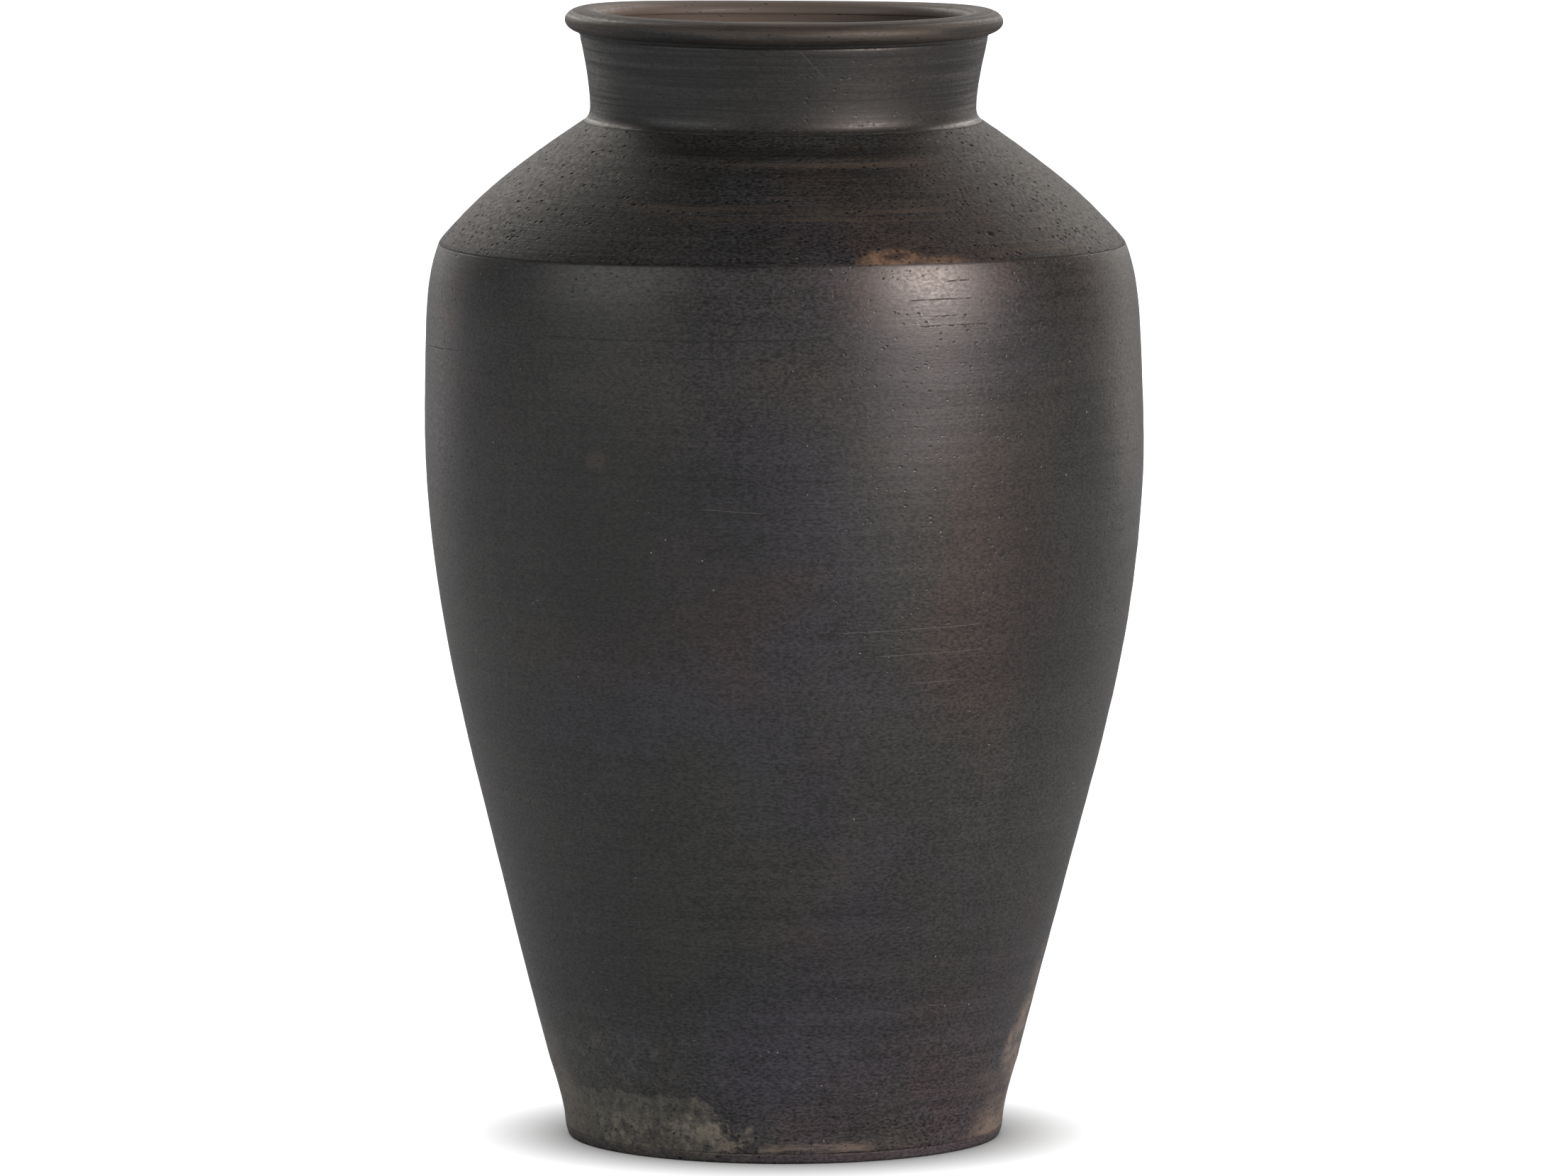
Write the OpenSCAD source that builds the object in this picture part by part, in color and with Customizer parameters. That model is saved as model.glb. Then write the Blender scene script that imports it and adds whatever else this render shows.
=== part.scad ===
// Tall black clay jar with a high shoulder, a short flaring neck and a rolled rim.
// It is luted together from a floor slab, two thrown wall sections, a domed shoulder, a neck and
// a rim coil, with a coil of soft clay pressed into the inside of each joint.
// Millimetres, +Z up. The origin is the centre of the foot, on the ground.
// Every piece is a ring about Z, so outlines are lists of [radius, height].

/* [Heights] */
// Overall height, from the ground to the crest of the rim
pot_h = 510; // [500:1:530]
// Height of the foot line, where the wall sits on the floor slab's ledge
foot_line_z = 4.3; // [3:0.1:6]
// Height at which the flare of the foot has become a straight cone
flare_z = 35; // [28:1:50]
// Height at which the straight cone starts to round towards the waist
cone_z = 161; // [140:1:172]
// Height of the waist joint between the lower and upper walls
waist_z = 244.5; // [238:0.5:252]
// Height of the widest ring
belly_z = 318; // [305:1:330]
// Height at which the upper wall starts to turn in
turn_z = 368; // [360:1:375]
// Height of the shoulder seam
seam_z = 406; // [403:0.5:406.5]
// Height at which the shoulder's rounded edge has become the dome
dome_z = 409.8; // [409.4:0.1:411]
// Height of the seam round the neck's foot flange
flange_z = 459.7; // [459:0.1:460.2]
// Height of the narrowest ring of the neck
throat_z = 465.8; // [464:0.1:468]

/* [Outside radii] */
// Foot, at the foot line
foot_r = 99; // [96:0.5:101]
// Start of the straight cone
flare_r = 106; // [104.5:0.5:108]
// End of the straight cone
cone_r = 138.5; // [136:0.5:140]
// Waist joint
waist_r = 156; // [154.5:0.5:157.5]
// Widest ring
belly_r = 162; // [161:0.5:163]
// Start of the turn below the shoulder
turn_r = 160.8; // [160:0.1:160.9]
// Shoulder seam
seam_r = 154.6; // [154:0.1:155.2]
// Start of the dome
dome_r = 151.5; // [151:0.1:152]
// Seam round the neck's foot flange
flange_r = 89.6; // [89:0.1:90.4]
// Narrowest ring of the neck
throat_r = 86.8; // [86:0.1:87.4]
// Top of the neck, in the groove under the roll
neck_top_r = 91.8; // [91:0.1:92.5]
// Rolled rim
rim_r = 98.6; // [97:0.1:101]

/* [Clay thickness] */
// Walls, below the shoulder
wall_t = 8.5; // [7.5:0.1:9.5]
// Shoulder
shoulder_t = 8; // [7:0.1:9]
// Neck
neck_t = 8; // [7:0.1:9]
// Floor
floor_t = 12; // [10:0.5:14]
// Waist coil, where it is smeared flat over the joint
waist_coil_t = 3.5; // [2:0.1:5]

/* [Rolled rim] */
// Height of the roll's round section
roll_h = 10.6; // [10:0.1:11.4]
// Radius of the crest, the highest ring of the rim
crest_r = 90; // [89:0.1:91]
// Radius of the lip's inner face
lip_r = 82.8; // [82:0.1:83.2]

/* [Slopes] */
// Radius gained per unit of height where the foot's flare ends
flare_slope = 0.33; // [0.3:0.01:0.38]
// Just below the waist joint
below_waist_slope = 0.165; // [0.14:0.005:0.18]
// Just above the waist joint
above_waist_slope = 0.125; // [0.11:0.005:0.15]
// Where the upper wall starts to turn in
turn_slope = -0.04; // [-0.05:0.005:-0.03]
// At the shoulder seam
seam_slope = -0.38; // [-0.45:0.01:-0.35]
// At the outer edge of the dome
dome_slope = -0.93; // [-1.0:0.01:-0.88]
// At the neck's foot
neck_foot_slope = -1.5; // [-1.6:0.01:-1.4]
// At the top of the neck
neck_top_slope = 0.22; // [0.18:0.01:0.26]

/* [Hidden] */
$fn = 180;

// The slab's edge draws in this much from the foot line to the ground, and its arris is eased.
foot_draw_in = 1.2;
foot_arris = 0.8;
// The boss that locates the lower wall has this radius.
boss_r = foot_r - wall_t;

// Shoulder spigot: its outer face, its inner face and the ledge that it stands on.
spigot_r = seam_r - 3.8;
spigot_in_r = spigot_r - 6.8;

// Neck spigot through the shoulder's mouth, and the thin flange that hides the mouth.
mouth_r = throat_r - 2.8;
neck_spigot_z = flange_z - 13.7;
flange_t = 1.3;

// Rim roll: the plane where it sits on the neck, and the neck's tongue inside it.
saddle_z = pot_h - 12;
roll_z = pot_h - roll_h / 2;
tongue_top_z = roll_z - 1;
tongue_in_r = neck_top_r - 6;
tongue_out_r = neck_top_r - 2.4;
lip_foot_r = lip_r + 0.5;

// Legs of the coil in the corner between the floor and the wall.
base_coil_leg = 10;

// Where two lines cross, each given by a point and its slope, radius gained per height.
function meet(a, slope_a, c, slope_c) =
    let (z = (a[0] - slope_a * a[1] - c[0] + slope_c * c[1]) / (slope_c - slope_a))
    [a[0] + slope_a * (z - a[1]), z];

// Quadratic Bezier from a to c, pulled towards b.
function bend(a, b, c, steps) =
    [for (i = [0:steps]) let (t = i / steps) (1 - t) ^ 2 * a + 2 * t * (1 - t) * b + t ^ 2 * c];

// The same, leaving a and reaching c at the given slopes.
function sweep(a, slope_a, c, slope_c, steps) = bend(a, meet(a, slope_a, c, slope_c), c, steps);

function last(list) = list[len(list) - 1];
function tail(list) = [for (i = [1:len(list) - 1]) list[i]];
function head(list, drop) = [for (i = [0:len(list) - 1 - drop]) list[i]];
function reverse(list) = [for (i = [len(list) - 1:-1:0]) list[i]];

// An outline that runs upwards, moved t towards the axis along its own normals.
function inset(path, t) =
    [for (i = [0:len(path) - 1])
        let (
            step = path[min(i + 1, len(path) - 1)] - path[max(i - 1, 0)],
            along = step / norm(step)
        )
        path[i] + t * [-along[1], along[0]]];

// Outside of the jar, from the foot line to the groove under the roll.
foot_at = [foot_r, foot_line_z];
flare_at = [flare_r, flare_z];
cone_at = [cone_r, cone_z];
waist_at = [waist_r, waist_z];
belly_at = [belly_r, belly_z];
turn_at = [turn_r, turn_z];
seam_at = [seam_r, seam_z];
dome_at = [dome_r, dome_z];
flange_at = [flange_r, flange_z];
throat_at = [throat_r, throat_z];
groove_at = [neck_top_r, saddle_z];
cone_slope = (cone_r - flare_r) / (cone_z - flare_z);

lower_out = concat(
    sweep(foot_at, 0, flare_at, flare_slope, 5),
    [cone_at],
    tail(sweep(cone_at, cone_slope, waist_at, below_waist_slope, 7))
);
upper_out = concat(
    sweep(waist_at, above_waist_slope, belly_at, 0, 6),
    tail(sweep(belly_at, 0, turn_at, turn_slope, 4)),
    tail(sweep(turn_at, turn_slope, seam_at, seam_slope, 6))
);
edge_out = sweep(seam_at, seam_slope, dome_at, dome_slope, 4);
dome_out = sweep(dome_at, dome_slope, flange_at, neck_foot_slope, 9);
neck_out = concat(
    sweep(flange_at, neck_foot_slope, throat_at, 0, 5),
    tail(sweep(throat_at, 0, groove_at, neck_top_slope, 7))
);

// Inside of the jar.
lower_in = inset(lower_out, wall_t);
upper_in = inset(upper_out, wall_t);
dome_in = inset(dome_out, shoulder_t);
throat_in = [throat_r - neck_t, throat_z];
neck_in = inset(sweep(throat_at, 0, groove_at, neck_top_slope, 7), neck_t);

// The waist scarf runs from the outside at the waist down to this ring of the inside.
scarf_in = lower_in[len(lower_in) - 2];
// Inner edge of the ledge for the shoulder's spigot.
ledge_at = upper_in[len(upper_in) - 2];
// Mouth of the shoulder: top and bottom of its bore.
flange_step_at = flange_at - [0.4, flange_t];
mouth_top = [mouth_r, flange_step_at[1] + (flange_step_at[0] - mouth_r) / -neck_foot_slope];
mouth_foot = [mouth_r, last(dome_in)[1] + (last(dome_in)[0] - mouth_r) / -neck_foot_slope];

module ring(outline) {
    rotate_extrude() polygon(outline);
}

// Floor slab, with the ledge for the wall and the boss that centres it.
module base_disc() {
    ground_r = foot_r - foot_draw_in;
    color([0.20, 0.19, 0.18]) ring([
        [0, 0], [ground_r - foot_arris, 0], [ground_r, foot_arris], foot_at,
        [boss_r, foot_line_z], [boss_r, floor_t], [0, floor_t]
    ]);
}

// Conical lower wall, open below for the boss and scarfed at the waist.
module lower_wall() {
    above_floor = [for (p = head(lower_in, 1)) if (p[1] > floor_t + 0.5) p];
    color([0.17, 0.17, 0.18]) ring(concat(
        lower_out, reverse(above_floor), [[boss_r, floor_t], [boss_r, foot_line_z]]
    ));
}

// Barrel-shaped upper wall, with a rebate inside its top edge.
module upper_wall() {
    color([0.19, 0.18, 0.18]) ring(concat(
        upper_out, [[spigot_r, seam_z], [spigot_r, ledge_at[1]]],
        reverse(head(tail(upper_in), 1)), [last(lower_in), scarf_in]
    ));
}

// Domed shoulder: a spigot below, and a mouth stepped down for the neck's flange.
module shoulder() {
    color([0.15, 0.15, 0.15]) ring(concat(
        [[spigot_r, ledge_at[1]], [spigot_r, seam_z]],
        edge_out, tail(dome_out), [flange_step_at, mouth_top, mouth_foot],
        reverse(tail(dome_in)), [[spigot_in_r, ledge_at[1]]]
    ));
}

// Flaring neck, with a flange on the shoulder, a spigot through it and a tongue on top.
module neck_collar() {
    color([0.18, 0.18, 0.18]) ring(concat(
        neck_out,
        [[tongue_out_r, saddle_z], [tongue_out_r, tongue_top_z]],
        [[tongue_in_r, tongue_top_z], [tongue_in_r, saddle_z]],
        reverse(tail(neck_in)),
        [throat_in, [throat_in[0], neck_spigot_z + 2], [throat_in[0] + 2, neck_spigot_z]],
        [[mouth_r, neck_spigot_z], mouth_top, flange_step_at]
    ));
}

// Rolled rim, saddled over the neck's tongue. Each side of the crest is its own ellipse.
module rim_roll() {
    outer_side = [for (a = [-72:9:90])
        [crest_r + (rim_r - crest_r) * cos(a), roll_z + roll_h / 2 * sin(a)]];
    inner_side = [for (a = [99:9:189])
        [crest_r + (crest_r - lip_r) * cos(a), roll_z + roll_h / 2 * sin(a)]];
    color([0.20, 0.19, 0.19]) ring(concat(
        [[tongue_out_r, saddle_z], groove_at],
        outer_side, inner_side,
        [[lip_foot_r, roll_z - 1.2], [last(neck_in)[0], last(neck_in)[1]], [tongue_in_r, saddle_z]],
        [[tongue_in_r, tongue_top_z], [tongue_out_r, tongue_top_z]]
    ));
}

// Coil in the corner of the floor and the wall.
module base_joint_coil() {
    toe = [boss_r - base_coil_leg, floor_t];
    above_floor = [for (p = lower_in) if (p[1] > floor_t + 0.5) p];
    top = above_floor[1];
    color([0.13, 0.12, 0.12]) ring(concat(
        [[boss_r, floor_t], above_floor[0]],
        bend(top, [boss_r - 1, floor_t + 3], toe, 6)
    ));
}

// Coil smeared flat over the inside of the waist scarf.
module waist_joint_coil() {
    low = lower_in[len(lower_in) - 3];
    high = upper_in[1];
    middle = (low + high) / 2;
    color([0.13, 0.12, 0.12]) ring(concat(
        [scarf_in, last(lower_in)], bend(high, middle - [2 * waist_coil_t, 0], low, 8)
    ));
}

// Coil in the corner under the shoulder's spigot.
module shoulder_joint_coil() {
    tip = [spigot_in_r, ledge_at[1]];
    toe = upper_in[len(upper_in) - 4];
    color([0.13, 0.12, 0.12]) ring(concat(
        [ledge_at], bend(tip, [tip[0] + 1, toe[1] + 4], toe, 6), [upper_in[len(upper_in) - 3]]
    ));
}

// Coil in the corner of the neck's spigot and the underside of the shoulder.
module neck_joint_coil() {
    foot = [mouth_r, neck_spigot_z + 0.5];
    under = last(dome_in);
    reach = dome_in[len(dome_in) - 2];
    color([0.13, 0.12, 0.12]) ring(concat(
        [mouth_foot], bend(foot, [under[0] + 1, foot[1] + 1], reach, 6), [under]
    ));
}

base_disc();
lower_wall();
upper_wall();
shoulder();
neck_collar();
rim_roll();
base_joint_coil();
waist_joint_coil();
shoulder_joint_coil();
neck_joint_coil();
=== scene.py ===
"""Looks of a tall black clay jar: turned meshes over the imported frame, clay, studio light and camera.

Metres, +Z up, the jar's axis is Z. An outline is a list of (radius, height) rows that is turned
round the axis; "run" is the distance along the jar's skin from the middle of its underside.
"""
import math

import bmesh
import bpy
import numpy as np
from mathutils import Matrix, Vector

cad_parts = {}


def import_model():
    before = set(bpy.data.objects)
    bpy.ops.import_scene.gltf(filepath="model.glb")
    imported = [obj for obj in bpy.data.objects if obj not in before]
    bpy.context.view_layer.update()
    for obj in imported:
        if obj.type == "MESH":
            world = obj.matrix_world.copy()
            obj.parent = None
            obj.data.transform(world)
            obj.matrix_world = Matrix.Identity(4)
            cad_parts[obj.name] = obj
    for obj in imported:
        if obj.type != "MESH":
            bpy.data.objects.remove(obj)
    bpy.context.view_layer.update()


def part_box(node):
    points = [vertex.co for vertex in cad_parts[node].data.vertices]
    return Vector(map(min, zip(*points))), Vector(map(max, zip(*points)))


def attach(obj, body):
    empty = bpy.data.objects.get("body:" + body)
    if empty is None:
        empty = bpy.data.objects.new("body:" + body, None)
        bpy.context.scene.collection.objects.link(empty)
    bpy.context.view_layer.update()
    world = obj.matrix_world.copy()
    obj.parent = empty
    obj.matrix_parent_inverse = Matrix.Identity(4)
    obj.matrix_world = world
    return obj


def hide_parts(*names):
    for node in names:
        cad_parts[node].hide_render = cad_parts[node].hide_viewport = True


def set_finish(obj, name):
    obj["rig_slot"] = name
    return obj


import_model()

MM = 0.001

# --- Sizes: what the frame gives, then the shape between its corners ---------------------------

base_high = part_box("base_disc")[1]
lower_low, lower_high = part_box("lower_wall")
upper_low, upper_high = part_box("upper_wall")
shoulder_low, shoulder_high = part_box("shoulder")
collar_low, collar_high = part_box("neck_collar")
roll_low, roll_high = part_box("rim_roll")
base_coil_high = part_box("base_joint_coil")[1]
waist_coil_low, waist_coil_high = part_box("waist_joint_coil")
shoulder_coil_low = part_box("shoulder_joint_coil")[0]
neck_coil_low, neck_coil_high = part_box("neck_joint_coil")

FOOT = (base_high.x, lower_low.z)
FLARE = (0.106, 0.035)
CONE = (0.1385, 0.161)
WAIST = (lower_high.x, lower_high.z)
BELLY = (upper_high.x, 0.318)
TURN = (0.1608, 0.368)
SEAM = (shoulder_high.x, upper_high.z)
DOME = (0.1515, 0.4098)
FLANGE = (0.0896, 0.4597)
THROAT = (0.0868, 0.4658)
GROOVE = (collar_high.x, roll_low.z)

GROUND_R = FOOT[0] - 1.2 * MM
FLOOR_Z = base_high.z
WALL = 8.5 * MM
SHOULDER_WALL = 8 * MM
NECK_WALL = 8 * MM
BOSS_R = FOOT[0] - WALL
SPIGOT_R = SEAM[0] - 3.8 * MM
SPIGOT_IN_R = SPIGOT_R - 6.8 * MM
LEDGE_Z = shoulder_low.z
MOUTH_R = THROAT[0] - 2.8 * MM
SPIGOT_Z = collar_low.z
TONGUE_IN_R = GROOVE[0] - 6 * MM
TONGUE_OUT_R = GROOVE[0] - 2.4 * MM
TONGUE_Z = collar_high.z
CREST_R = 0.090
LIP_R = 0.0828
RIM_R = roll_high.x
ROLL_HALF = 5.3 * MM
ROLL_Z = roll_high.z - ROLL_HALF

CONE_SLOPE = (CONE[0] - FLARE[0]) / (CONE[1] - FLARE[1])
FLARE_SLOPE = 0.33
WAIST_SLOPE = 0.145
TURN_SLOPE = -0.04
SEAM_SLOPE = -0.38
DOME_SLOPE = -0.93
NECK_FOOT_SLOPE = -1.5
NECK_TOP_SLOPE = 0.22


# --- Outlines ---------------------------------------------------------------------------------

def meet(a, slope_a, c, slope_c):
    """Where two lines cross, each given by a point and its slope, radius gained per height."""
    z = (a[0] - slope_a * a[1] - c[0] + slope_c * c[1]) / (slope_c - slope_a)
    return (a[0] + slope_a * (z - a[1]), z)


def bend(a, b, c, steps=160):
    """Quadratic Bezier from a to c, pulled towards b."""
    t = np.linspace(0, 1, steps + 1)[:, None]
    return (1 - t) ** 2 * np.array(a) + 2 * t * (1 - t) * np.array(b) + t ** 2 * np.array(c)


def sweep(a, slope_a, c, slope_c, steps=160):
    """The same, leaving a and reaching c at the given slopes."""
    return bend(a, meet(a, slope_a, c, slope_c), c, steps)


def ellipse(centre, half_width, half_height, start, end):
    """Arc of an ellipse between two angles in degrees."""
    t = np.radians(np.linspace(start, end, 40))
    return np.stack([centre[0] + half_width * np.cos(t), centre[1] + half_height * np.sin(t)], 1)


def chain(*parts):
    """Joins point lists end to end, leaving out a point that repeats the one before it."""
    points = np.concatenate([np.array(p, float).reshape(-1, 2) for p in parts])
    keep = np.r_[True, np.hypot(*np.diff(points, axis=0).T) > 1e-7]
    return points[keep]


def inset(path, thickness):
    """An outline that runs upwards, moved towards the axis along its own normals."""
    along = np.gradient(path, axis=0)
    along /= np.hypot(*along.T)[:, None]
    return path + thickness * np.stack([-along[:, 1], along[:, 0]], 1)


def above(path, z):
    """The stretch of an upward path over a height, starting exactly on it."""
    start = (np.interp(z, path[:, 1], path[:, 0]), z)
    return chain(start, path[path[:, 1] > z + 0.1 * MM])


def below(path, z):
    """The stretch of an upward path under a height, ending exactly on it."""
    end = (np.interp(z, path[:, 1], path[:, 0]), z)
    return chain(path[path[:, 1] < z - 0.1 * MM], end)


lower_skin = chain(
    sweep(FOOT, 0, FLARE, FLARE_SLOPE),
    [CONE],
    sweep(CONE, CONE_SLOPE, WAIST, WAIST_SLOPE),
)
upper_skin = chain(
    sweep(WAIST, WAIST_SLOPE, BELLY, 0),
    sweep(BELLY, 0, TURN, TURN_SLOPE),
    sweep(TURN, TURN_SLOPE, SEAM, SEAM_SLOPE),
)
dome_skin = sweep(DOME, DOME_SLOPE, FLANGE, NECK_FOOT_SLOPE)
shoulder_skin = chain(sweep(SEAM, SEAM_SLOPE, DOME, DOME_SLOPE), dome_skin)
neck_line = sweep(THROAT, 0, GROOVE, NECK_TOP_SLOPE)
collar_skin = chain(sweep(FLANGE, NECK_FOOT_SLOPE, THROAT, 0), neck_line)
roll_skin = chain(
    [GROOVE],
    ellipse((CREST_R, ROLL_Z), RIM_R - CREST_R, ROLL_HALF, -72, 90),
    ellipse((CREST_R, ROLL_Z), CREST_R - LIP_R, ROLL_HALF, 90, 189),
)
lower_lining = inset(lower_skin, WALL)
upper_lining = inset(upper_skin, WALL)
dome_lining = inset(dome_skin, SHOULDER_WALL)
neck_lining = inset(neck_line, NECK_WALL)

SCARF_Z = upper_low.z
FLANGE_STEP = (FLANGE[0] - 0.4 * MM, FLANGE[1] - 1.3 * MM)
MOUTH_TOP = (MOUTH_R, FLANGE_STEP[1] + (FLANGE_STEP[0] - MOUTH_R) / -NECK_FOOT_SLOPE)
MOUTH_FOOT = (MOUTH_R, neck_coil_high.z)
SADDLE_IN = tuple(neck_lining[-1])
LIP_FOOT = (LIP_R + 0.5 * MM, ROLL_Z - 1.2 * MM)


# --- Distances along the skin ------------------------------------------------------------------

def length(path):
    return float(np.hypot(*np.diff(path, axis=0).T).sum())


GROUND_RUN = GROUND_R
FOOT_RUN = GROUND_RUN + FOOT[1]
WAIST_RUN = FOOT_RUN + length(lower_skin)
SEAM_RUN = WAIST_RUN + length(upper_skin)
FLANGE_RUN = SEAM_RUN + length(shoulder_skin)
GROOVE_RUN = FLANGE_RUN + length(collar_skin)
LIP_RUN = GROOVE_RUN + 0.67 * length(roll_skin)
LINING_RUN = 1.0


# --- Relief of the clay surface ----------------------------------------------------------------

def lattice(turn, row, around, seed):
    """Smooth random values from -1 to 1. turn is in turns round the jar, so they meet themselves."""
    rows = 512
    values = np.random.default_rng(seed).uniform(-1, 1, (rows, around))
    u, v = (turn % 1.0) * around, row % rows
    i, j = np.floor(u).astype(int), np.floor(v).astype(int)
    fu, fv = u - i, v - j
    fu, fv = fu * fu * (3 - 2 * fu), fv * fv * (3 - 2 * fv)
    i, j = i % around, j % rows
    low = values[j, i] * (1 - fu) + values[j, (i + 1) % around] * fu
    high = values[(j + 1) % rows, i] * (1 - fu) + values[(j + 1) % rows, (i + 1) % around] * fu
    return low * (1 - fv) + high * fv


def skin_relief(turn, run, rough):
    """Hand lumps, throwing waves and turning ridges of the outside, over the true outline."""
    lumps = 0.16 * MM * lattice(turn, run / 0.062, 5, 11)
    waves = 0.06 * MM * lattice(turn + run * 0.3, run / 0.0085, 3, 12)
    ridges = 0.035 * MM * lattice(turn - run * 0.5, run / 0.0033, 4, 13)
    return lumps + waves + ridges * rough


def lining_relief(turn, run, rough):
    """Lumps and finger ridges of the inside, which nobody smooths."""
    lumps = 0.45 * MM * lattice(turn, run / 0.045, 6, 21)
    fingers = 0.35 * MM * lattice(turn + run * 1.5, run / 0.012, 4, 22)
    return (lumps + fingers) * rough


def underside_relief(turn, run, rough):
    """Arcs that the cutting wire leaves under the slab, always drawn into the clay."""
    x = run * np.sin(turn * math.tau)
    y = run * np.cos(turn * math.tau)
    arcs = np.hypot(x - 0.21, y + 0.05) / 0.006 + 0.5 * lattice(turn, run / 0.03, 5, 41)
    inner = np.clip((0.9 * GROUND_R - run) / 0.01, 0, 1)
    return -rough * inner * (0.5 * MM + 0.16 * MM * np.sin(arcs * math.tau))


class Seam:
    """An open joint line in the skin: where it runs, and how deep and wide its groove is."""

    def __init__(self, run, depth, width, seed):
        self.run, self.depth, self.width, self.seed = run, depth, width, seed

    def relief(self, turn, run):
        uneven = 0.7 + 0.3 * lattice(turn, np.array(0.5), 90, self.seed)
        uneven = uneven + 0.3 * lattice(turn, np.array(0.5), 17, self.seed + 1)
        off = run - self.run
        return -self.depth * uneven * np.exp(-np.abs(off / self.width) ** 1.3)


foot_seam = Seam(FOOT_RUN, 0.6 * MM, 0.5 * MM, 51)
shoulder_seam = Seam(SEAM_RUN, 0.14 * MM, 0.40 * MM, 53)
flange_seam = Seam(FLANGE_RUN, 0.35 * MM, 0.45 * MM, 55)
roll_seam = Seam(GROOVE_RUN, 0.4 * MM, 0.6 * MM, 57)


# How far the jar leans out and back, and how much its seam and its rim are off the level.
LEAN = 0.75 * MM
SEAM_WAVE = 1.5 * MM
RIM_TILT = -0.55 * MM
RIM_SAG = -2.8 * MM


def settle(x, y, z):
    """The whole jar's hand-made unevenness: its lean, its wavy shoulder seam and its sagging rim."""
    angle = np.arctan2(x, -y)
    lean = LEAN * np.sin((0.330 - z) * math.pi / 0.220)
    lean = lean * np.clip(z / 0.09, 0, 1) * np.clip((0.49 - z) / 0.05, 0, 1)
    seam_wave = SEAM_WAVE * np.cos(2 * angle - 0.35) * np.exp(-((z - SEAM[1]) / 0.014) ** 2)
    rim = np.clip((z - 0.47) / 0.035, 0, 1) ** 2
    tilt = RIM_TILT * x / RIM_R
    sag = RIM_SAG * np.clip(y / CREST_R, 0, 1.1) ** 2
    return x + lean, y, z + seam_wave + rim * (tilt + sag)


# --- Turned meshes -----------------------------------------------------------------------------

COLUMNS = 480


def spread(path, count, fine_start, fine_end):
    """A path with count rows, closer together towards an end that is marked fine."""
    run = np.r_[0, np.cumsum(np.hypot(*np.diff(path, axis=0).T))]
    at = np.linspace(0, run[-1], 4000)
    density = 1 + fine_start * np.exp(-at / (2 * MM)) + fine_end * np.exp((at - run[-1]) / (2 * MM))
    share = np.r_[0, np.cumsum((density[1:] + density[:-1]) / 2)]
    at = np.interp(np.linspace(0, 1, count), share / share[-1], at)
    return np.stack([np.interp(at, run, path[:, k]) for k in (0, 1)], 1)


def normals(path):
    """Unit normals to the right of the path's direction, away from the clay."""
    along = np.gradient(path, axis=0)
    along /= np.hypot(*along.T)[:, None]
    return np.stack([along[:, 1], -along[:, 0]], 1)


class Face:
    """A worked stretch of an outline: its rows, its relief and how much of it is inside the jar."""

    def __init__(self, path, rows, relief, run=LINING_RUN, rough=1.0, inside=0.0, fine=(0, 0)):
        self.path = spread(chain(path), rows, *fine)
        self.relief, self.run, self.rough, self.inside = relief, run, rough, inside

    def rows(self, turn, seams):
        """Radius and height of every point, its distance along the skin and its inside share."""
        run = self.run + np.r_[0, np.cumsum(np.hypot(*np.diff(self.path, axis=0).T))][:, None]
        relief = self.relief(turn, run, self.rough)
        for seam in seams:
            relief = relief + seam.relief(turn, run)
        if self.inside:
            ends = np.minimum(run - run[0], run[-1] - run)
            relief = relief * np.clip(ends / (4 * MM), 0, 1)
        away = normals(self.path)
        radius = self.path[:, :1] + away[:, :1] * relief
        height = self.path[:, 1:] + away[:, 1:] * relief
        whole = np.ones_like(relief)
        return radius, height, run * whole, self.inside * whole


class Joint:
    """A hidden stretch between two faces, against the next piece. It has only its own corners."""

    def __init__(self, *path):
        self.path = chain(*path)[1:-1]

    def rows(self, turn, seams):
        whole = np.ones((len(self.path), turn.shape[1]))
        hidden = LINING_RUN + self.path[:, 1:]
        return self.path[:, :1] * whole, self.path[:, 1:] * whole, hidden * whole, whole


def turned_piece(name, node, slot, stretches, seams=()):
    """A closed mesh of revolution. Where its outline starts on the axis, it ends there too."""
    turn = np.arange(COLUMNS)[None, :] / COLUMNS
    rows = [part.rows(turn, seams) for part in stretches]
    for before, after in zip(range(len(rows)), range(1, len(rows))):
        if isinstance(stretches[before], Face) and isinstance(stretches[after], Face):
            rows[after] = tuple(values[1:] for values in rows[after])
    radius, height, run, inside = (np.concatenate(values) for values in zip(*rows))
    x = radius * np.sin(turn * math.tau)
    y = -radius * np.cos(turn * math.tau)
    place = np.stack(settle(x, y, height), -1)
    index = np.arange(run.size).reshape(run.shape)
    poled = radius[0].max() < 1e-6
    if not poled:
        index = np.r_[index, index[:1]]
    grid = [index[:-1], np.roll(index[:-1], -1, 1), np.roll(index[1:], -1, 1), index[1:]]
    quads = np.stack(grid, -1).reshape(-1, 4)
    mesh = bpy.data.meshes.new(name)
    mesh.vertices.add(run.size)
    mesh.vertices.foreach_set("co", place.astype(np.float32).ravel())
    mesh.loops.add(quads.size)
    mesh.loops.foreach_set("vertex_index", quads.astype(np.int32).ravel())
    mesh.polygons.add(len(quads))
    mesh.polygons.foreach_set("loop_start", np.arange(0, quads.size, 4, dtype=np.int32))
    mesh.update(calc_edges=True)
    for label, values in (("run", run), ("inside", inside)):
        attribute = mesh.attributes.new(label, "FLOAT", "POINT")
        attribute.data.foreach_set("value", values.astype(np.float32).ravel())
    if poled:
        close_poles(mesh)
    mesh.shade_smooth()
    mesh.set_sharp_from_angle(angle=math.radians(42))
    piece = bpy.data.objects.new(name, mesh)
    bpy.context.scene.collection.objects.link(piece)
    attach(piece, "root")
    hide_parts(node)
    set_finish(piece, slot)
    return piece


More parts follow.
